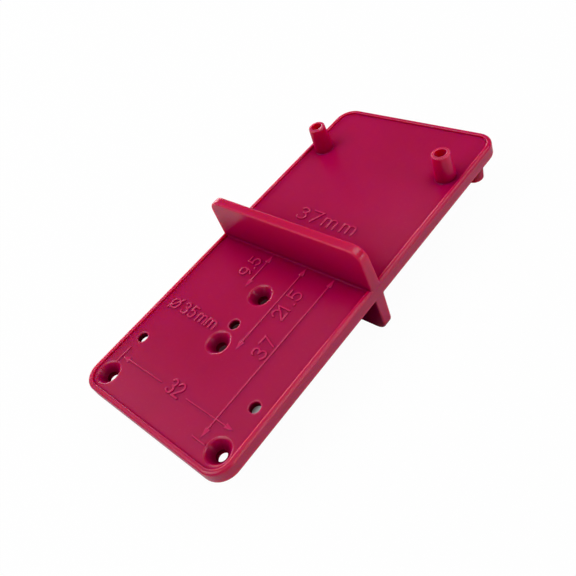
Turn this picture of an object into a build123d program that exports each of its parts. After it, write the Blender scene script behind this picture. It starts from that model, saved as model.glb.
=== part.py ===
from build123d import *
import math
import os

# A hinge drilling jig, moulded in one piece of plastic. A flat plate with a low rim round its
# top face is crossed by an upright fence that stands out of both faces. The near wing carries
# the guide holes for the drill, and the far wing carries hollow locating pegs on both faces.
# X runs along the fence, +Y from the hole wing to the peg wing, +Z up.
# The origin is under the middle of the whole jig, level with the lower edge of the fence.

# Guide holes, each set out from the fence face that the near wing meets
row_spacing = 32.0             # between the left row and the right row, of holes and of pegs
corner_hole_distance = 37.0    # the pair near the corners, countersunk from above
plain_hole_distance = 28.0     # the pair countersunk from below
cup_hole_distance = 21.5       # countersunk from above, on the middle line
screw_hole_distance = 9.5      # countersunk from above, on the middle line
middle_hole_distance = 17.0    # countersunk from below, on the middle line
guide_diameter = 2.1
countersink_diameter = 4.9
countersink_depth = 1.5
lower_countersink_depth = 1.2
hole_mouth_chamfer = 0.15

# Locating pegs, each set out from the fence face that the far wing meets
upper_peg_distance = 28.0
lower_peg_distance = 37.0
upper_peg_height = 6.0
lower_peg_height = 5.2
peg_root_diameter = 4.3
peg_tip_diameter = 3.6
peg_bore_diameter = 2.4
peg_bore_floor = 1.4           # plastic left between a peg's bore and the other face
peg_tip_chamfer = 0.15
peg_root_flare = 0.1

# Plate
side_margin = 4.0              # from a row to the side of the plate
near_margin = 4.2              # from the corner holes to the near end
far_margin = 4.7               # from the lower pegs to the far end
panel_thickness = 2.6          # inside the rim
plate_corner_radius = 4.0
plate_edge_radius = 0.5

# Rim round the top face
rim_width = 1.0
rim_height = 0.4
rim_mouth_radius = 0.15

# Fence
fence_thickness = 2.5          # where it meets the plate
fence_rise = 9.0               # above the rim
fence_drop = 9.0               # below the plate
fence_draft = 1.5              # degrees, on every side, narrowing away from the plate
fence_corner_radius = 2.6
fence_edge_radius = 0.3
fence_root_radius = 0.4

# Places that follow from the sizes above
plate_width = row_spacing + 2 * side_margin
near_wing_length = corner_hole_distance + near_margin
far_wing_length = lower_peg_distance + far_margin
length = near_wing_length + fence_thickness + far_wing_length
fence_near = near_wing_length - length / 2
fence_far = fence_near + fence_thickness
plate_bottom = fence_drop
panel_top = plate_bottom + panel_thickness
rim_top = panel_top + rim_height
fence_top = rim_top + fence_rise
plate_middle = (plate_bottom + panel_top) / 2
row_places = (-row_spacing / 2, row_spacing / 2)


def make_plate():
    """The flat plate with rounded edges, its top face sunk inside the rim."""
    thickness = rim_top - plate_bottom
    outline = RectangleRounded(plate_width, length, plate_corner_radius)
    slab = extrude(Pos(0, 0, plate_bottom) * outline, thickness)
    levels = slab.edges().group_by(Axis.Z)
    edge_radius = min(plate_edge_radius, thickness / 3, rim_width * 0.6)
    slab = fillet(levels[0] + levels[-1], edge_radius)

    pocket_width = plate_width - 2 * rim_width
    pocket_length = length - 2 * rim_width
    pocket_corner = max(plate_corner_radius - rim_width, rim_mouth_radius)
    pocket_outline = RectangleRounded(pocket_width, pocket_length, pocket_corner)
    slab -= extrude(Pos(0, 0, panel_top) * pocket_outline, rim_height)

    # The pocket's mouth is picked out by its size, smaller than the flat of the rim round it
    limit_x = plate_width / 2 - rim_width + rim_mouth_radius / 10
    limit_y = length / 2 - rim_width + rim_mouth_radius / 10
    top_edges = slab.edges().group_by(Axis.Z)[-1]
    mouth = [edge for edge in top_edges if is_within(edge.center(), limit_x, limit_y)]
    mouth_radius = min(rim_mouth_radius, rim_height * 0.8, (rim_width - edge_radius) * 0.8)
    return fillet(mouth, mouth_radius)


def is_within(place, limit_x, limit_y):
    return abs(place.X) < limit_x and abs(place.Y) < limit_y


def make_half_fence(height):
    """One half of the blade, standing on the plate's middle plane and drafted upwards."""
    slope = math.tan(math.radians(fence_draft))
    foot_thickness = fence_thickness + panel_thickness * slope
    half = extrude(Rectangle(plate_width, foot_thickness), height, taper=fence_draft)
    free_corners = half.edges().filter_by(Axis.Y).group_by(Axis.Z)[-1]
    half = fillet(free_corners, fence_corner_radius)
    broad_faces = half.faces().group_by(Axis.Y)[0] + half.faces().group_by(Axis.Y)[-1]
    foot = half.edges().group_by(Axis.Z)[0]
    outline = [edge for face in broad_faces for edge in face.edges() if edge not in foot]
    return fillet(outline, min(fence_edge_radius, fence_thickness / 6))


def make_fence():
    """Both halves of the blade, in their place across the plate."""
    foot = Pos(0, (fence_near + fence_far) / 2, plate_middle)
    upper_half = make_half_fence(fence_top - plate_middle)
    lower_half = make_half_fence(plate_middle)
    return foot * upper_half + foot * Rot(180, 0, 0) * lower_half


def round_fence_roots(body):
    """Rounds the four lines where the fence grows out of the plate's two faces."""
    roots = [edge for edge in body.edges().filter_by(Axis.X) if is_fence_root(edge.center())]
    return fillet(roots, fence_root_radius)


def is_fence_root(place):
    slack = 0.01
    on_plate = min(abs(place.Z - panel_top), abs(place.Z - plate_bottom)) < slack
    on_fence = min(abs(place.Y - fence_near), abs(place.Y - fence_far)) < slack
    return on_plate and on_fence


def make_peg(height):
    """A tapered peg on the XY plane: broken tip edge, flared root, and a disc sunk into the plate."""
    root = peg_root_diameter / 2
    tip = peg_tip_diameter / 2
    taper = (root - tip) / height
    sunk = panel_thickness / 2
    section = Polyline(
        (0, -sunk),
        (root + peg_root_flare, -sunk),
        (root + peg_root_flare, 0),
        (root - taper * peg_root_flare, peg_root_flare),
        (tip + taper * peg_tip_chamfer, height - peg_tip_chamfer),
        (tip - peg_tip_chamfer, height),
        (0, height),
        close=True,
    )
    return revolve(Plane.XZ * make_face(section), Axis.Z)


def make_peg_bore(height):
    """The blind core of a peg, from its tip down into the plate."""
    depth = height + panel_thickness - peg_bore_floor
    bore = Cylinder(peg_bore_diameter / 2, depth, align=(Align.CENTER, Align.CENTER, Align.MAX))
    return Pos(0, 0, height) * bore


def add_pegs(body, height, distance, level, turn):
    """Both pegs of one face, solid first and bored last."""
    places = [Pos(x, fence_far + distance, level) * turn for x in row_places]
    for place in places:
        body += place * make_peg(height)
    for place in places:
        body -= place * make_peg_bore(height)
    return body


def make_hole(cone_depth, far_mouth):
    """A guide hole's cut through the panel, its wide mouth at the origin with the edge broken.

    The far mouth is given as the outline's points there, from the guide's wall outwards.
    """
    mouth = countersink_diameter / 2
    guide = guide_diameter / 2
    cone_slope = (mouth - guide) / cone_depth
    beyond = -panel_thickness - rim_height
    section = Polyline(
        (0, rim_height),
        (mouth + hole_mouth_chamfer, rim_height),
        (mouth + hole_mouth_chamfer, 0),
        (mouth - cone_slope * hole_mouth_chamfer, -hole_mouth_chamfer),
        (guide, -cone_depth),
        *far_mouth,
        (far_mouth[-1][0], beyond),
        (0, beyond),
        close=True,
    )
    return revolve(Plane.XZ * make_face(section), Axis.Z)


def drill_guides(body):
    """Cuts the seven guide holes of the near wing, four from above and three from below."""
    guide = guide_diameter / 2
    sharp_mouth = [(guide, -panel_thickness)]
    broken_mouth = [
        (guide, hole_mouth_chamfer - panel_thickness),
        (guide + hole_mouth_chamfer, -panel_thickness),
    ]
    from_above = make_hole(countersink_depth, sharp_mouth)
    from_below = Rot(180, 0, 0) * make_hole(lower_countersink_depth, broken_mouth)
    above_places = [(x, corner_hole_distance) for x in row_places]
    above_places += [(0, cup_hole_distance), (0, screw_hole_distance)]
    below_places = [(x, plain_hole_distance) for x in row_places]
    below_places += [(0, middle_hole_distance)]
    for x, distance in above_places:
        body -= Pos(x, fence_near - distance, panel_top) * from_above
    for x, distance in below_places:
        body -= Pos(x, fence_near - distance, plate_bottom) * from_below
    return body


def make_jig():
    """The whole jig, one solid."""
    jig = round_fence_roots(make_plate() + make_fence())
    jig = add_pegs(jig, upper_peg_height, upper_peg_distance, panel_top, Rot(0, 0, 0))
    jig = add_pegs(jig, lower_peg_height, lower_peg_distance, plate_bottom, Rot(180, 0, 0))
    return drill_guides(jig)


os.makedirs("parts", exist_ok=True)
export_step(make_jig(), "parts/drilling_jig.step")
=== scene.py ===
import bmesh
import bpy
from math import radians
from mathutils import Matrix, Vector
import numpy as np


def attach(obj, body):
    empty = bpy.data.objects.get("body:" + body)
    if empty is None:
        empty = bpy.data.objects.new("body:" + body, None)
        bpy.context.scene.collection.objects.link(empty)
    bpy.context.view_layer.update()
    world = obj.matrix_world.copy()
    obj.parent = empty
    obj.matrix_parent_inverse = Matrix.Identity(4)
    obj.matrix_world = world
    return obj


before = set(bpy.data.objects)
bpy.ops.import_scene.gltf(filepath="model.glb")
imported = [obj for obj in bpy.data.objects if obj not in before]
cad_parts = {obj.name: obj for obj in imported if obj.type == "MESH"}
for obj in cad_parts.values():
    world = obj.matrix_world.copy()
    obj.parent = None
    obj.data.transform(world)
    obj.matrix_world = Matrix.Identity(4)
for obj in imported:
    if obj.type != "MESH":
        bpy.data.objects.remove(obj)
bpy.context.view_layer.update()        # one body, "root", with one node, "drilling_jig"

mm = 0.001
weld = 1e-7              # metres within which two points are one
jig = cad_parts["drilling_jig"]

# places on the moulding that the raised figures sit on and count from, in millimetres
moulding = {
    "panelTop": 11.6,       # inside the rim
    "fenceNear": -1.5,      # face that the hole distances count from
}


# mesh helpers

def meshPiece(name, points, faces, material):
    # points is an array of x, y, z in millimetres, faces a list of index lists
    mesh = bpy.data.meshes.new(name)
    mesh.from_pydata(points * mm, [], faces)
    bm = bmesh.new()
    bm.from_mesh(mesh)
    bmesh.ops.remove_doubles(bm, verts=bm.verts, dist=weld)
    bmesh.ops.recalc_face_normals(bm, faces=bm.faces)
    bm.to_mesh(mesh)
    bm.free()
    mesh.polygons.foreach_set("use_smooth", np.ones(len(mesh.polygons), bool))
    mesh.materials.append(material)
    piece = bpy.data.objects.new(name, mesh)
    bpy.context.scene.collection.objects.link(piece)
    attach(piece, "root")
    return piece


def gridFaces(rows, columns):
    # quads of a rows x columns grid of points
    index = np.arange(rows * columns).reshape(rows, columns)
    quads = np.stack([index[:-1, :-1], index[1:, :-1], index[1:, 1:], index[:-1, 1:]], axis=-1)
    return quads.reshape(-1, 4)


def joined(parts):
    # several (points, quads) pairs as one
    points, quads, count = [], [], 0
    for somePoints, someQuads in parts:
        points.append(somePoints)
        quads.append(someQuads + count)
        count += len(somePoints)
    return np.concatenate(points), np.concatenate(quads).tolist()


# raised strokes

ridge = {
    "halfWidth": 0.21,
    "height": 0.24,
    "sunk": 0.06,           # foot of the ridge, below the panel
    "fullness": 4.0,        # 2 is an elliptical section, more is flatter on top
    "across": 11,           # points from one foot to the other
    "capRings": 5,          # rings of each rounded end
}


def strokeRidge(path, halfWidth, height):
    # A rounded ridge carried along a flat path.
    # across runs from -1 to 1 between its two feet, and each end is a half circle, where the path goes on by
    # halfWidth * sin(turn) while the width shrinks by cos(turn).
    # height = crest * (1 - radial^fullness)^(1/fullness), radial being the distance from the middle line
    # over the half width.
    path = np.asarray(path, float)
    tangent = np.gradient(path, axis=0)
    tangent /= np.linalg.norm(tangent, axis=1, keepdims=True)
    turn = np.linspace(0, np.pi / 2, ridge["capRings"] + 1)[1:]
    reach, shrink = np.sin(turn), np.cos(turn)
    startCap = path[0] - tangent[0] * halfWidth * reach[::-1, None]
    endCap = path[-1] + tangent[-1] * halfWidth * reach[:, None]
    middle = np.concatenate([startCap, path, endCap])
    startHeading = np.repeat(tangent[:1], len(turn), 0)
    endHeading = np.repeat(tangent[-1:], len(turn), 0)
    heading = np.concatenate([startHeading, tangent, endHeading])
    side = np.stack([-heading[:, 1], heading[:, 0]], axis=1)
    width = np.concatenate([shrink[::-1], np.ones(len(path)), shrink])
    along = np.concatenate([reach[::-1], np.zeros(len(path)), reach])
    across = np.sin(np.linspace(-np.pi / 2, np.pi / 2, ridge["across"]))
    offset = width[:, None] * across[None, :]
    radial = np.clip(np.hypot(along[:, None], offset), 0, 1)
    full = ridge["fullness"]
    crest = (height + ridge["sunk"]) * (1 - radial ** full) ** (1 / full) - ridge["sunk"]
    flat = middle[:, None, :] + side[:, None, :] * (offset * halfWidth)[:, :, None]
    points = np.concatenate([flat, crest[:, :, None]], axis=2)
    rows, columns = crest.shape
    top = gridFaces(rows, columns)
    row = np.arange(rows - 1) * columns
    under = np.stack([row, row + columns - 1, row + 2 * columns - 1, row + columns], axis=1)
    return points.reshape(-1, 3), np.concatenate([top, under])


def arc(centre, radii, start, end, points=17):
    # an elliptical arc, angles in degrees from +x
    angle = np.radians(np.linspace(start, end, points))
    return np.stack([centre[0] + radii[0] * np.cos(angle), centre[1] + radii[1] * np.sin(angle)], axis=1)


def line(start, end, points=5):
    # straight run, with a few points between its ends so that the ridge keeps its direction
    start, end = np.array(start, float), np.array(end, float)
    share = np.linspace(0, 1, points)[:, None]
    return start * (1 - share) + end * share


# strokes of each figure, in a box one wide and one high
figures = {
    "1": [line((0.15, 0.76), (0.62, 1.0)), line((0.62, 1.0), (0.62, 0.0))],
    "2": [
        np.concatenate([arc((0.5, 0.70), (0.45, 0.30), 165, -28), [[0.46, 0.28], [0.04, 0.0]]]),
        line((0.04, 0.0), (0.98, 0.0)),
    ],
    "3": [arc((0.45, 0.765), (0.42, 0.235), 155, -90), arc((0.45, 0.265), (0.48, 0.265), 90, -155)],
    "5": [
        line((0.90, 1.0), (0.16, 1.0)),
        line((0.16, 1.0), (0.10, 0.52)),
        arc((0.45, 0.32), (0.48, 0.32), 138, -145),
    ],
    "7": [line((0.02, 1.0), (0.98, 1.0)), line((0.98, 1.0), (0.36, 0.0))],
    "9": [
        arc((0.48, 0.70), (0.44, 0.30), 0, 360, 25),
        np.concatenate([[[0.92, 0.70]], arc((0.32, 0.62), (0.60, 0.62), 0, -75, 9)]),
    ],
    ".": [line((0.45, 0.04), (0.55, 0.04))],
    "m": [
        line((0.03, 0.0), (0.03, 0.70)),
        np.concatenate([arc((0.265, 0.50), (0.235, 0.21), 180, 0, 13), [[0.50, 0.25], [0.50, 0.0]]]),
        np.concatenate([arc((0.735, 0.50), (0.235, 0.21), 180, 0, 13), [[0.97, 0.25], [0.97, 0.0]]]),
    ],
    "Ø": [arc((0.5, 0.46), (0.46, 0.44), 0, 360, 31), line((-0.10, -0.10), (1.10, 1.06))],
}


def written(spec):
    # The strokes of one number. Each figure has its own start and width along the reading direction,
    # and the reading direction is +x, or +y with the figures' tops towards -x.
    strokes = []
    for figure, start, width in spec["figures"]:
        for stroke in figures[figure]:
            along = start + stroke[:, 0] * width
            up = stroke[:, 1] * spec["height"]
            if spec["reads"] == "x":
                strokes.append(np.stack([along, spec["foot"] + up], axis=1))
            else:
                strokes.append(np.stack([spec["foot"] - up, along], axis=1))
    return strokes


def raisedStrokes(name, strokes, material, halfWidth=ridge["halfWidth"], height=ridge["height"]):
    parts = [strokeRidge(stroke, halfWidth, height) for stroke in strokes]
    points, faces = joined(parts)
    points[:, 2] += moulding["panelTop"]
    return meshPiece(name, points, faces, material)


# shader helpers

def addNode(tree, kind, **values):
    node = tree.nodes.new(kind)
    for name, value in values.items():
        setattr(node, name, value)
    return node


def feed(tree, value, socket):
    # a fixed value goes on the socket itself, and anything else is linked to it
    if isinstance(value, (int, float, tuple)):
        socket.default_value = value
    else:
        tree.links.new(value, socket)


def newGroup(name, inputs, outputs):
    tree = bpy.data.node_groups.new(name, "ShaderNodeTree")
    for label, kind, value in inputs:
        socket = tree.interface.new_socket(name=label, in_out="INPUT", socket_type=kind)
        if value is not None:
            socket.default_value = value
    for label, kind in outputs:
        tree.interface.new_socket(name=label, in_out="OUTPUT", socket_type=kind)
    return tree, addNode(tree, "NodeGroupInput"), addNode(tree, "NodeGroupOutput")


def groupNode(tree, group, **values):
    # Pebble_Scale=5.0 sets the input "Pebble Scale"
    node = addNode(tree, "ShaderNodeGroup")
    node.node_tree = group
    for label, value in values.items():
        feed(tree, value, node.inputs[label.replace("_", " ")])
    return node.outputs


def mathNode(tree, operation, first, second=None, clamp=False):
    node = addNode(tree, "ShaderNodeMath", operation=operation, use_clamp=clamp)
    feed(tree, first, node.inputs[0])
    if second is not None:
        feed(tree, second, node.inputs[1])
    return node.outputs[0]


def rampNode(tree, value, low, high):
    # a smooth rise from 0 at low to 1 at high, where high may be the smaller one
    node = addNode(tree, "ShaderNodeMapRange", interpolation_type="SMOOTHSTEP")
    feed(tree, value, node.inputs["Value"])
    feed(tree, low, node.inputs["From Min"])
    feed(tree, high, node.inputs["From Max"])
    return node.outputs["Result"]


def noiseNode(tree, vector, scale, detail, roughness):
    node = addNode(tree, "ShaderNodeTexNoise")
    feed(tree, vector, node.inputs["Vector"])
    feed(tree, scale, node.inputs["Scale"])
    feed(tree, detail, node.inputs["Detail"])
    feed(tree, roughness, node.inputs["Roughness"])
    return node.outputs["Fac"]


def mixColours(tree, factor, first, second):
    # inputs 6 and 7 and output 2 are the colour ones
    node = addNode(tree, "ShaderNodeMix", data_type="RGBA")
    feed(tree, factor, node.inputs[0])
    feed(tree, first, node.inputs[6])
    feed(tree, second, node.inputs[7])
    return node.outputs[2]


# shared effects, with lengths in millimetres

mouldSkin = {
    "pebble": (4.0, 0.6),           # detail and roughness of each noise
    "cloud": (2.0, 0.5),
    "speckle": (2.0, 0.7),
}


def mouldSkinGroup():
    # the spark-eroded skin of the mould: a fine pebble, broad soft flow clouds and small specks, as noises
    # with scales per millimetre
    tree, given, out = newGroup(
        "mouldSkin",
        [("Vector", "NodeSocketVector", None), ("Pebble Scale", "NodeSocketFloat", 5.0),
         ("Cloud Scale", "NodeSocketFloat", 0.07), ("Speckle Scale", "NodeSocketFloat", 2.1)],
        [("Pebble", "NodeSocketFloat"), ("Cloud", "NodeSocketFloat"), ("Speckle", "NodeSocketFloat")],
    )
    for label in ("Pebble", "Cloud", "Speckle"):
        detail, roughness = mouldSkin[label.lower()]
        grain = noiseNode(tree, given.outputs["Vector"], given.outputs[label + " Scale"], detail, roughness)
        tree.links.new(grain, out.inputs[label])
    return tree


cutterLines = {
    "stretch": (1.0, 1.0, 0.04),    # long along Z
    "noise": (2.6, 3.0, 0.65),      # scale, detail and roughness
    "sideWalls": (19.6, 19.95),     # distances from the middle plane between which the lines come in
}


def toolLinesGroup():
    # fine lines left on the side walls by the cutter that made the mould, running up the wall
    tree, given, out = newGroup(
        "toolLines",
        [("Vector", "NodeSocketVector", None)],
        [("Height", "NodeSocketFloat")],
    )
    stretch = addNode(tree, "ShaderNodeVectorMath", operation="MULTIPLY")
    tree.links.new(given.outputs["Vector"], stretch.inputs[0])
    feed(tree, cutterLines["stretch"], stretch.inputs[1])
    lines = noiseNode(tree, stretch.outputs[0], *cutterLines["noise"])
    axes = addNode(tree, "ShaderNodeSeparateXYZ")
    tree.links.new(given.outputs["Vector"], axes.inputs[0])
    sideways = mathNode(tree, "ABSOLUTE", axes.outputs["X"])
    onSides = rampNode(tree, sideways, *cutterLines["sideWalls"])
    tree.links.new(mathNode(tree, "MULTIPLY", lines, onSides), out.inputs["Height"])
    return tree


hairs = {
    "directions": ((0.6, 3.0), (-0.9, 11.0)),   # turn in radians and where its noise starts
    "stretch": (0.12, 3.2, 0.5),
    "noise": (1.7, 2.0, 0.6),                   # scale, detail and roughness
    "limits": (0.66, 0.72),
    "patches": (0.16, 2.0, 0.5),                # the same three for the patches that have them
    "patchLimits": (0.45, 0.65),
}


def handlingGroup():
    # hair scratches from use, a few short ones, in two directions
    tree, given, out = newGroup(
        "handling",
        [("Vector", "NodeSocketVector", None), ("Amount", "NodeSocketFloat", 0.5)],
        [("Scratches", "NodeSocketFloat")],
    )
    found = []
    for turn, begin in hairs["directions"]:
        mapping = addNode(tree, "ShaderNodeMapping")
        mapping.inputs["Rotation"].default_value = (0, 0, turn)
        mapping.inputs["Location"].default_value = (begin, begin, begin)
        mapping.inputs["Scale"].default_value = hairs["stretch"]
        tree.links.new(given.outputs["Vector"], mapping.inputs["Vector"])
        hair = noiseNode(tree, mapping.outputs[0], *hairs["noise"])
        found.append(rampNode(tree, hair, *hairs["limits"]))
    both = mathNode(tree, "MAXIMUM", found[0], found[1])
    patches = noiseNode(tree, given.outputs["Vector"], *hairs["patches"])
    spread = mathNode(tree, "MULTIPLY", both, rampNode(tree, patches, *hairs["patchLimits"]))
    tree.links.new(mathNode(tree, "MULTIPLY", spread, given.outputs["Amount"]), out.inputs["Scratches"])
    return tree


# a place that the piece itself closes in takes a painted shade, the dark colour of holes and inner corners
hollows = {
    "shelterReach": 0.012,          # metres within which a wall shelters a place
    "shelterLimits": (0.15, 0.72),  # openness at which it is all hollow and not hollow at all
    "shelterSamples": 8,
    "wallOpenness": 0.12,           # a wall counts as this much more open than the sky it sees
    "skySamples": 6,
    "nearReach": 0.003,             # the same at short range
    "nearLimits": (0.30, 0.66),
    "nearSamples": 6,
    "holeDepths": (11.55, 10.3),    # a guide hole's wall takes more and more painted shade from one level to the other, in mm
    "holeBounds": (18.9, 41.5, 9.04),   # the guide holes lie within these half sizes, above this level
    "holeShare": 0.7,
}

# light comes through thin walls and the top of the fence
glow = {
    "reach": 0.0025,            # metres of plastic behind the surface that count as thin
    "limits": (0.32, 0.08),
    "samples": 4,
    "thinShare": 0.6,           # how far a thin wall goes towards the glowing colour
    "heights": (13.0, 21.0),    # the fence and the pegs glow more and more from one level to the other, in mm
    "heightShare": 0.5,
    "radius": (1.0, 0.04, 0.08),    # how far red, green and blue light spread under the skin
    "scale": 0.004,
}

# edges are a little rounder to the light than in the mesh, and where they stand free they are painted paler,
# a painted highlight
edges = {
    "body": 0.00045,            # radii in metres
    "figures": 0.0001,
    "samples": 6,
    "leanLimits": (0.99, 0.88),     # cosine between the rounded and the true normal
    "freeLimits": (0.75, 0.95),     # openness at short range
    "edgeLight": 0.85,
}


def openness(tree, reach, samples, towards=None, inside=False):
    # how open a place is: 1 in the open, 0 where the piece itself closes it in
    node = addNode(tree, "ShaderNodeAmbientOcclusion", samples=samples, only_local=True, inside=inside)
    feed(tree, reach, node.inputs["Distance"])
    if towards is not None:
        tree.links.new(towards, node.inputs["Normal"])
    return node.outputs["AO"]


def nearOpenness(tree):
    return openness(tree, hollows["nearReach"], hollows["nearSamples"])


def thinness(tree):
    # 1 where the plastic behind the surface is thin
    behind = openness(tree, glow["reach"], glow["samples"], inside=True)
    return rampNode(tree, behind, *glow["limits"])


def insideHoles(tree, vector):
    # 1 down in a guide hole, 0 at its mouth and outside
    separate = addNode(tree, "ShaderNodeSeparateXYZ")
    tree.links.new(vector, separate.inputs[0])
    axes = separate.outputs
    deep = rampNode(tree, axes["Z"], *hollows["holeDepths"])
    for axis, bound in zip("XYZ", hollows["holeBounds"]):
        reach = mathNode(tree, "ABSOLUTE", axes[axis])
        within = mathNode(tree, "GREATER_THAN" if axis == "Z" else "LESS_THAN", reach, bound)
        deep = mathNode(tree, "MULTIPLY", deep, within)
    return deep


def closedInGroup():
    # how far the piece closes a place in: at long range, the same with walls counted by the sky they see,
    # at short range, in the guide holes, and through thin walls
    tree, given, out = newGroup(
        "closedIn",
        [("Vector", "NodeSocketVector", None)],
        [("Sheltered", "NodeSocketFloat"), ("Shaded", "NodeSocketFloat"), ("Near", "NodeSocketFloat"),
         ("In Hole", "NodeSocketFloat"), ("Thin", "NodeSocketFloat")],
    )
    upwards = addNode(tree, "ShaderNodeCombineXYZ")
    feed(tree, 1.0, upwards.inputs["Z"])
    skyward = openness(tree, hollows["shelterReach"], hollows["skySamples"], upwards.outputs[0])
    wallsToo = mathNode(tree, "ADD", skyward, hollows["wallOpenness"])
    sheltered = openness(tree, hollows["shelterReach"], hollows["shelterSamples"])
    tree.links.new(sheltered, out.inputs["Sheltered"])
    tree.links.new(mathNode(tree, "MINIMUM", sheltered, wallsToo), out.inputs["Shaded"])
    tree.links.new(nearOpenness(tree), out.inputs["Near"])
    tree.links.new(insideHoles(tree, given.outputs["Vector"]), out.inputs["In Hole"])
    tree.links.new(thinness(tree), out.inputs["Thin"])
    return tree


def edgeWearGroup():
    # the normal with rounded edges, and how much painted highlight an edge takes, by how far that normal
    # leans
    tree, given, out = newGroup(
        "edgeWear",
        [("Radius", "NodeSocketFloat", 0.0004), ("Near", "NodeSocketFloat", 1.0),
         ("Wear", "NodeSocketFloat", 0.85)],
        [("Normal", "NodeSocketVector"), ("Lit Edges", "NodeSocketFloat")],
    )
    softened = addNode(tree, "ShaderNodeBevel", samples=edges["samples"])
    tree.links.new(given.outputs["Radius"], softened.inputs["Radius"])
    flat = addNode(tree, "ShaderNodeNewGeometry")
    lean = addNode(tree, "ShaderNodeVectorMath", operation="DOT_PRODUCT")
    tree.links.new(softened.outputs[0], lean.inputs[0])
    tree.links.new(flat.outputs["Normal"], lean.inputs[1])
    leaning = rampNode(tree, lean.outputs["Value"], *edges["leanLimits"])
    scuffAndEdgeLight = mathNode(tree, "MULTIPLY", leaning, given.outputs["Wear"])
    free = rampNode(tree, given.outputs["Near"], *edges["freeLimits"])
    tree.links.new(softened.outputs[0], out.inputs["Normal"])
    tree.links.new(mathNode(tree, "MULTIPLY", scuffAndEdgeLight, free), out.inputs["Lit Edges"])
    return tree


skin = mouldSkinGroup()
toolLines = toolLinesGroup()
handling = handlingGroup()
closedIn = closedInGroup()
edgeWear = edgeWearGroup()


# plastic

crimson = {
    "deep": (0.362, 0.0, 0.053, 1),
    "clear": (0.386, 0.0, 0.061, 1),
    "cloudLimits": (0.32, 0.68),        # all deep below, all clear above
    "raised": (0.465, 0.008, 0.112, 1),     # figures, too thin to let light through; paler than the body, partly as a painted highlight for the light their strokes catch
    "scuffAndEdgeLight": (0.52, 0.125, 0.23, 1),   # scratches, scuffed paler, and the painted highlight on free edges
    "speckLimits": (0.55, 0.80),
    "specks": 0.04,                     # how far a speck goes towards the pale colour of scuffs and lit edges
    "scratches": 0.08,                  # and a scratch
    "handling": 0.25,                   # amount of scratches
    "pebbleScale": 5.0,
    "cloudScale": 0.07,
    "speckleScale": 2.1,
    "hollow": (0.045, 0.0, 0.003, 1),   # painted shade in holes and inner corners
    "glowing": (0.55, 0.0, 0.058, 1),   # thin walls and edges, which let light through
}

# the gloss is the shader's coat, because its weight may fall where the piece closes a place in
gloss = {
    "weight": 0.84,
    "shelterLimits": (0.69, 0.94),
    "nearLimits": (0.45, 0.90),
    "roughness": 0.23,
    "roughnessSpread": 0.05,
    "scratchRoughness": 0.12,
    "specular": 0.0,            # no reflections of its own under the coat
    "indexOfRefraction": 1.49,
}

relief = {
    "distance": 0.00002,
    "strength": 0.30,
    "pebble": 0.5,
    "toolLines": 2.2,
}


def plasticColour(tree, look, skinNode, scratches, masks, height):
    cloudy = rampNode(tree, skinNode["Cloud"], *crimson["cloudLimits"])
    colour = mixColours(tree, cloudy, look["deep"], look["clear"])
    specks = rampNode(tree, skinNode["Speckle"], *crimson["speckLimits"])
    specks = mathNode(tree, "MULTIPLY", specks, crimson["specks"])
    scratched = mathNode(tree, "MULTIPLY", scratches, crimson["scratches"])
    colour = mixColours(tree, mathNode(tree, "ADD", specks, scratched), colour, crimson["scuffAndEdgeLight"])
    # painted shade: places that the piece closes in, and the walls down in the guide holes, turn towards the
    # painted-shade colour
    for mask, limits in (("Shaded", "shelterLimits"), ("Near", "nearLimits")):
        opened = rampNode(tree, masks[mask], *hollows[limits])
        colour = mixColours(tree, opened, crimson["hollow"], colour)
    darkened = mathNode(tree, "MULTIPLY", masks["In Hole"], hollows["holeShare"])
    colour = mixColours(tree, darkened, colour, crimson["hollow"])
    # painted glow: thin walls, and the fence and the pegs more and more towards their tops, turn towards the
    # glowing colour
    thin = mathNode(tree, "MULTIPLY", masks["Thin"], glow["thinShare"])
    lifted = mathNode(tree, "MULTIPLY", rampNode(tree, height, *glow["heights"]), glow["heightShare"])
    return mixColours(tree, mathNode(tree, "MAXIMUM", thin, lifted), colour, crimson["glowing"])


def plasticGloss(tree, shader, speckle, scratches, masks):
    spread = mathNode(tree, "MULTIPLY", speckle, gloss["roughnessSpread"])
    rough = mathNode(tree, "ADD", spread, gloss["roughness"] - gloss["roughnessSpread"] / 2)
    rough = mathNode(tree, "ADD", rough, mathNode(tree, "MULTIPLY", scratches, gloss["scratchRoughness"]))
    tree.links.new(rough, shader.inputs["Roughness"])
    mirrored = mathNode(tree, "MULTIPLY", rampNode(tree, masks["Sheltered"], *gloss["shelterLimits"]),
                        rampNode(tree, masks["Near"], *gloss["nearLimits"]))
    tree.links.new(mathNode(tree, "MULTIPLY", mirrored, gloss["weight"]), shader.inputs["Coat Weight"])
    shader.inputs["Coat Roughness"].default_value = gloss["roughness"]
    shader.inputs["Coat IOR"].default_value = gloss["indexOfRefraction"]
    shader.inputs["Specular IOR Level"].default_value = gloss["specular"]
    shader.inputs["IOR"].default_value = gloss["indexOfRefraction"]


def plasticRelief(tree, shader, pebble, lines, softened):
    grain = mathNode(tree, "MULTIPLY", pebble, relief["pebble"])
    lined = mathNode(tree, "MULTIPLY", lines, relief["toolLines"])
    bump = addNode(tree, "ShaderNodeBump")
    tree.links.new(softened, bump.inputs["Normal"])
    tree.links.new(mathNode(tree, "ADD", grain, lined), bump.inputs["Height"])
    bump.inputs["Strength"].default_value = relief["strength"]
    bump.inputs["Distance"].default_value = relief["distance"]
    tree.links.new(bump.outputs[0], shader.inputs["Normal"])
    tree.links.new(bump.outputs[0], shader.inputs["Coat Normal"])


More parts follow.
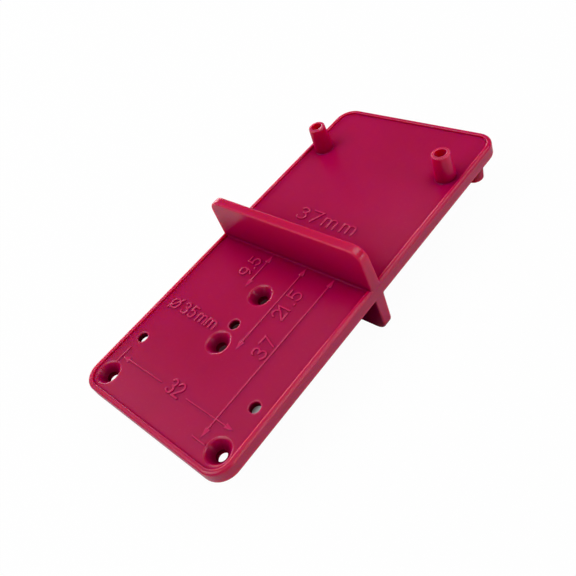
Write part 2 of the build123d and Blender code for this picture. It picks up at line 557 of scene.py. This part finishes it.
def lightThrough(tree, shader, vector):
    # Light spreads under the skin in the open and in thin walls, and not in the holes. Its weight is made
    # in the material itself, because a group has no output for it.
    opened = rampNode(tree, nearOpenness(tree), *hollows["nearLimits"])
    through = mathNode(tree, "SUBTRACT", opened, insideHoles(tree, vector), clamp=True)
    through = mathNode(tree, "MAXIMUM", through, thinness(tree))
    tree.links.new(through, shader.inputs["Subsurface Weight"])
    shader.inputs["Subsurface Radius"].default_value = glow["radius"]
    shader.inputs["Subsurface Scale"].default_value = glow["scale"]


def plasticMaterial(name, look):
    material = bpy.data.materials.new(name)
    material.use_nodes = True
    tree = material.node_tree
    shader = tree.nodes["Principled BSDF"]
    place = addNode(tree, "ShaderNodeTexCoord")
    inMillimetres = addNode(tree, "ShaderNodeMapping")
    inMillimetres.inputs["Scale"].default_value = (1 / mm, 1 / mm, 1 / mm)
    tree.links.new(place.outputs["Object"], inMillimetres.inputs["Vector"])
    vector = inMillimetres.outputs[0]
    axes = addNode(tree, "ShaderNodeSeparateXYZ")
    tree.links.new(vector, axes.inputs[0])

    skinNode = groupNode(tree, skin, Vector=vector, Pebble_Scale=crimson["pebbleScale"],
                         Cloud_Scale=crimson["cloudScale"], Speckle_Scale=crimson["speckleScale"])
    lines = groupNode(tree, toolLines, Vector=vector)["Height"]
    scratches = groupNode(tree, handling, Vector=vector, Amount=crimson["handling"])["Scratches"]
    masks = groupNode(tree, closedIn, Vector=vector)
    roundedLitEdges = groupNode(tree, edgeWear, Radius=look["softEdge"], Near=masks["Near"], Wear=edges["edgeLight"])

    colour = plasticColour(tree, look, skinNode, scratches, masks, axes.outputs["Z"])
    # free edges are painted paler: a painted highlight for the light they catch and let through
    colour = mixColours(tree, roundedLitEdges["Lit Edges"], colour, crimson["scuffAndEdgeLight"])
    tree.links.new(colour, shader.inputs["Base Color"])
    plasticGloss(tree, shader, skinNode["Speckle"], scratches, masks)
    plasticRelief(tree, shader, skinNode["Pebble"], lines, roundedLitEdges["Normal"])
    if look["lightThrough"]:
        lightThrough(tree, shader, vector)
    return material


bodyPlastic = plasticMaterial("crimsonPlastic", {
    "deep": crimson["deep"],
    "clear": crimson["clear"],
    "lightThrough": True,
    "softEdge": edges["body"],
})
figurePlastic = plasticMaterial("crimsonRaised", {
    "deep": crimson["raised"],
    "clear": crimson["raised"],
    "lightThrough": False,
    "softEdge": edges["figures"],
})
print("materials ready")


# the moulding

jig.data.materials.clear()
jig.data.materials.append(bodyPlastic)
print("moulding dressed")


# raised numbers

numbers = {
    "number37mm": {
        "figures": [("3", -7.40, 2.20), ("7", -4.35, 2.65), ("m", -0.55, 3.30), ("m", 4.25, 3.20)],
        "height": 3.05, "foot": 8.55, "reads": "x",
    },
    "number35mm": {
        "figures": [("Ø", -16.75, 2.30), ("3", -13.10, 1.50), ("5", -10.90, 1.50), ("m", -8.45, 2.35),
                    ("m", -5.65, 2.35)],
        "height": 2.50, "foot": -21.45, "reads": "x",
    },
    "number32": {
        "figures": [("3", -1.75, 1.55), ("2", 0.15, 1.60)],
        "height": 2.75, "foot": -35.45, "reads": "x",
    },
    "number21.5": {
        "figures": [("2", -13.80, 1.75), ("1", -12.05, 1.20), (".", -10.40, 1.0), ("5", -9.00, 1.90)],
        "height": 2.80, "foot": 8.22, "reads": "y",
    },
    "number37": {
        "figures": [("3", -22.00, 1.80), ("7", -19.55, 1.85)],
        "height": 2.95, "foot": 10.80, "reads": "y",
    },
    "number9.5": {
        "figures": [("9", -8.60, 1.90), (".", -6.65, 1.0), ("5", -5.50, 1.70)],
        "height": 2.65, "foot": -5.90, "reads": "y",
    },
}
for name, spec in numbers.items():
    raisedStrokes(name, written(spec), figurePlastic)
print("numbers raised")


# dimension lines

dimensionLines = {
    "halfWidth": 0.15,
    "height": 0.20,
    "arrowLength": 2.0,
    "arrowHalfWidth": 0.60,
    "arrowHeight": 0.16,
    "arrowSlope": 0.12,     # width of the arrowhead's sloping edge
    "arrowRings": 6,        # steps of that edge
}

# runs of the lines as (from, to), in x and in distance from the fence
lineRuns = [
    ((4.45, 1.9), (4.45, 19.6)),
    ((11.5, 1.9), (11.5, 35.2)),
    ((-4.55, 2.2), (-4.55, 7.6)),
    ((-14.1, 33.05), (-3.75, 33.05)),
    ((3.55, 33.05), (14.1, 33.05)),
    ((-16.4, 30.9), (-16.4, 34.3)),
    ((9.9, 37.4), (13.0, 37.4)),
]
# arrowheads as (tip, direction it points in)
arrowTips = [
    ((4.45, 0.3), (0, 1)),
    ((4.45, 21.2), (0, -1)),
    ((11.5, 0.3), (0, 1)),
    ((11.5, 37.0), (0, -1)),
    ((-4.55, 0.4), (0, 1)),
    ((-4.55, 9.3), (0, -1)),
    ((-16.0, 33.05), (-1, 0)),
    ((15.8, 33.05), (1, 0)),
]


def onPanel(place):
    return np.array([place[0], moulding["fenceNear"] - place[1]], float)


def arrowhead(tip, direction):
    # A raised triangle: its outline is stepped inwards while it climbs a quarter round,
    # height = arrowHeight * sin(turn), inset = arrowSlope * (1 - cos(turn)), and the top is flat.
    length, half = dimensionLines["arrowLength"], dimensionLines["arrowHalfWidth"]
    direction = np.array(direction, float)
    side = np.array([-direction[1], direction[0]])
    corners = np.array([tip, tip - direction * length + side * half, tip - direction * length - side * half])
    middle = corners.mean(0)
    perimeter = np.linalg.norm(corners - np.roll(corners, 1, 0), axis=1).sum()
    inRadius = length * 2 * half / perimeter
    turn = np.linspace(0, np.pi / 2, dimensionLines["arrowRings"])
    inset = dimensionLines["arrowSlope"] * (1 - np.cos(turn)) / inRadius
    rise = (dimensionLines["arrowHeight"] + ridge["sunk"]) * np.sin(turn) - ridge["sunk"]
    inset = np.concatenate([[1.0], inset, [1.0]])
    rise = np.concatenate([[-ridge["sunk"]], rise, [dimensionLines["arrowHeight"]]])
    ring = np.stack([corners[0], corners[1], corners[2], corners[0]])
    flat = middle + (ring[None] - middle) * (1 - inset)[:, None, None]
    heights = np.broadcast_to(rise[:, None, None], flat.shape[:2] + (1,))
    points = np.concatenate([flat, heights], axis=2)
    return points.reshape(-1, 3), gridFaces(len(rise), len(ring))


runs = [line(onPanel(a), onPanel(b)) for a, b in lineRuns]
raisedStrokes("dimensionLines", runs, figurePlastic, dimensionLines["halfWidth"], dimensionLines["height"])
points, faces = joined([arrowhead(onPanel(tip), direction) for tip, direction in arrowTips])
points[:, 2] += moulding["panelTop"]
meshPiece("arrowheads", points, faces, figurePlastic)
print("dimension lines raised")


# floor, light and camera

studio = {
    "floorSize": 6.0,
    "floorColour": (0.80, 0.80, 0.80, 1),
    "shadedFloor": (0.17, 0.045, 0.055, 1),     # painted shadow, right under the object
    "floorRoughness": 0.9,
    "floorWhite": 0.97,         # share of plain white that the camera sees in the open floor
    "floorSheen": 0.66,         # and the grey of it in reflections
    "footprint": (0.0200, 0.0427),      # half the width and half the length that the jig shades
    "shadeShift": (-0.003, 0.004),      # the shade lies this far to the side of the jig
    "shadeEdge": (-0.0105, -0.0055),    # metres outside the footprint where shade turns to white
    "dimEdge": (-0.002, 0.010),         # the same for the painted shade in what the plastic mirrors
    "white": (1, 1, 1, 1),
    "skyStrength": 0.07,
}


def outsideFootprint(tree):
    # distance on the floor from the edge of the jig's shade, negative under the jig
    place = addNode(tree, "ShaderNodeTexCoord")
    axes = addNode(tree, "ShaderNodeSeparateXYZ")
    tree.links.new(place.outputs["Object"], axes.inputs[0])
    distances = []
    for axis, shift, half in zip("XY", studio["shadeShift"], studio["footprint"]):
        along = mathNode(tree, "SUBTRACT", axes.outputs[axis], shift)
        distances.append(mathNode(tree, "SUBTRACT", mathNode(tree, "ABSOLUTE", along), half))
    return mathNode(tree, "MAXIMUM", distances[0], distances[1])


def whiteOver(tree, surface, share, strength):
    # plain white light in place of a share of the surface
    light = addNode(tree, "ShaderNodeEmission")
    feed(tree, studio["white"], light.inputs["Color"])
    feed(tree, strength, light.inputs["Strength"])
    mix = addNode(tree, "ShaderNodeMixShader")
    tree.links.new(share, mix.inputs[0])
    tree.links.new(surface, mix.inputs[1])
    tree.links.new(light.outputs[0], mix.inputs[2])
    return mix.outputs[0]


def floorMaterial():
    # The open floor is nearly plain white to the camera and grey in reflections. Under the jig it carries a
    # painted
    # shadow over a footprint mask: its colour turns to the shaded floor, and the white and the grey give way
    # there.
    material = bpy.data.materials.new("paleFloor")
    material.use_nodes = True
    tree = material.node_tree
    shader = tree.nodes["Principled BSDF"]
    shader.inputs["Roughness"].default_value = studio["floorRoughness"]
    outside = outsideFootprint(tree)
    opened = rampNode(tree, outside, *studio["shadeEdge"])
    openMirrored = rampNode(tree, outside, *studio["dimEdge"])
    colour = mixColours(tree, opened, studio["shadedFloor"], studio["floorColour"])
    tree.links.new(colour, shader.inputs["Base Color"])
    rays = addNode(tree, "ShaderNodeLightPath")
    toCamera = mathNode(tree, "MULTIPLY", rays.outputs["Is Camera Ray"], studio["floorWhite"])
    toCamera = mathNode(tree, "MULTIPLY", toCamera, opened)
    surface = whiteOver(tree, shader.outputs[0], toCamera, 1.0)
    bent = mathNode(tree, "MAXIMUM", rays.outputs["Is Glossy Ray"], rays.outputs["Is Transmission Ray"])
    mirroredWhite = mathNode(tree, "MULTIPLY", openMirrored, studio["floorSheen"])
    surface = whiteOver(tree, surface, bent, mirroredWhite)
    tree.links.new(surface, tree.nodes["Material Output"].inputs["Surface"])
    return material


def paleSky():
    # a white backdrop to the camera, and a faint even light on the object
    world = bpy.data.worlds.new("studioSky")
    world.use_nodes = True
    tree = world.node_tree
    sky = tree.nodes["Background"]
    sky.inputs["Color"].default_value = studio["white"]
    sky.inputs["Strength"].default_value = studio["skyStrength"]
    backdrop = addNode(tree, "ShaderNodeBackground")
    backdrop.inputs["Color"].default_value = studio["white"]
    backdrop.inputs["Strength"].default_value = 1.0
    rays = addNode(tree, "ShaderNodeLightPath")
    mix = addNode(tree, "ShaderNodeMixShader")
    tree.links.new(rays.outputs["Is Camera Ray"], mix.inputs[0])
    tree.links.new(sky.outputs[0], mix.inputs[1])
    tree.links.new(backdrop.outputs[0], mix.inputs[2])
    tree.links.new(mix.outputs[0], tree.nodes["World Output"].inputs["Surface"])
    return world


half = studio["floorSize"] / 2
floorCorners = [(-half, -half, 0), (half, -half, 0), (half, half, 0), (-half, half, 0)]
floorMesh = bpy.data.meshes.new("floor")
floorMesh.from_pydata(floorCorners, [], [(0, 1, 2, 3)])
floorMesh.materials.append(floorMaterial())
floor = bpy.data.objects.new("floor", floorMesh)
bpy.context.scene.collection.objects.link(floor)
bpy.context.scene.world = paleSky()

lamps = {
    # place and size in metres, power in watts
    "overhead": {"place": (0.00, 0.05, 0.90), "size": (1.40, 1.40), "power": 3.2},
    "keyLeft": {"place": (-0.28, -0.48, 0.71), "size": (0.60, 0.60), "power": 3.9},
    "backHigh": {"place": (0.26, 0.45, 0.74), "size": (0.50, 0.50), "power": 2.0},
    "rightFlat": {"place": (0.88, 0.15, 0.13), "size": (0.60, 0.16), "power": 1.7},
    "leftStrip": {"place": (-0.86, 0.20, 0.16), "size": (0.90, 0.22), "power": 3.8},
    "rightHigh": {"place": (0.69, 0.15, 0.55), "size": (0.18, 0.18), "power": 0.8},
    "leftHigh": {"place": (-0.67, -0.18, 0.58), "size": (0.50, 0.40), "power": 0.4},
}
lampAim = Vector((0, 0, 0.01))
for name, lamp in lamps.items():
    light = bpy.data.lights.new(name, "AREA")
    light.shape = "RECTANGLE"
    light.size, light.size_y = lamp["size"]
    light.energy = lamp["power"]
    holder = bpy.data.objects.new(name, light)
    bpy.context.scene.collection.objects.link(holder)
    holder.location = lamp["place"]
    toAim = lampAim - holder.location
    holder.rotation_euler = toAim.to_track_quat("-Z", "Y").to_euler()

shot = {
    "place": (0.081225, -0.049433, 0.095283),
    "turn": (43.2322, 18.7010, 40.1906),    # degrees
    "lens": 40.654,         # millimetres, as is the sensor's width
    "sensor": 36.0,
    "shift": (-0.0295, -0.0139),
    "clip": (0.005, 20.0),  # metres
}
camera = bpy.data.cameras.new("camera")
camera.lens = shot["lens"]
camera.sensor_width = shot["sensor"]
camera.shift_x, camera.shift_y = shot["shift"]
camera.clip_start, camera.clip_end = shot["clip"]
cameraHolder = bpy.data.objects.new("camera", camera)
bpy.context.scene.collection.objects.link(cameraHolder)
cameraHolder.location = shot["place"]
cameraHolder.rotation_euler = [radians(angle) for angle in shot["turn"]]
bpy.context.scene.camera = cameraHolder
bpy.context.scene.view_settings.view_transform = "Standard"
print("studio ready")
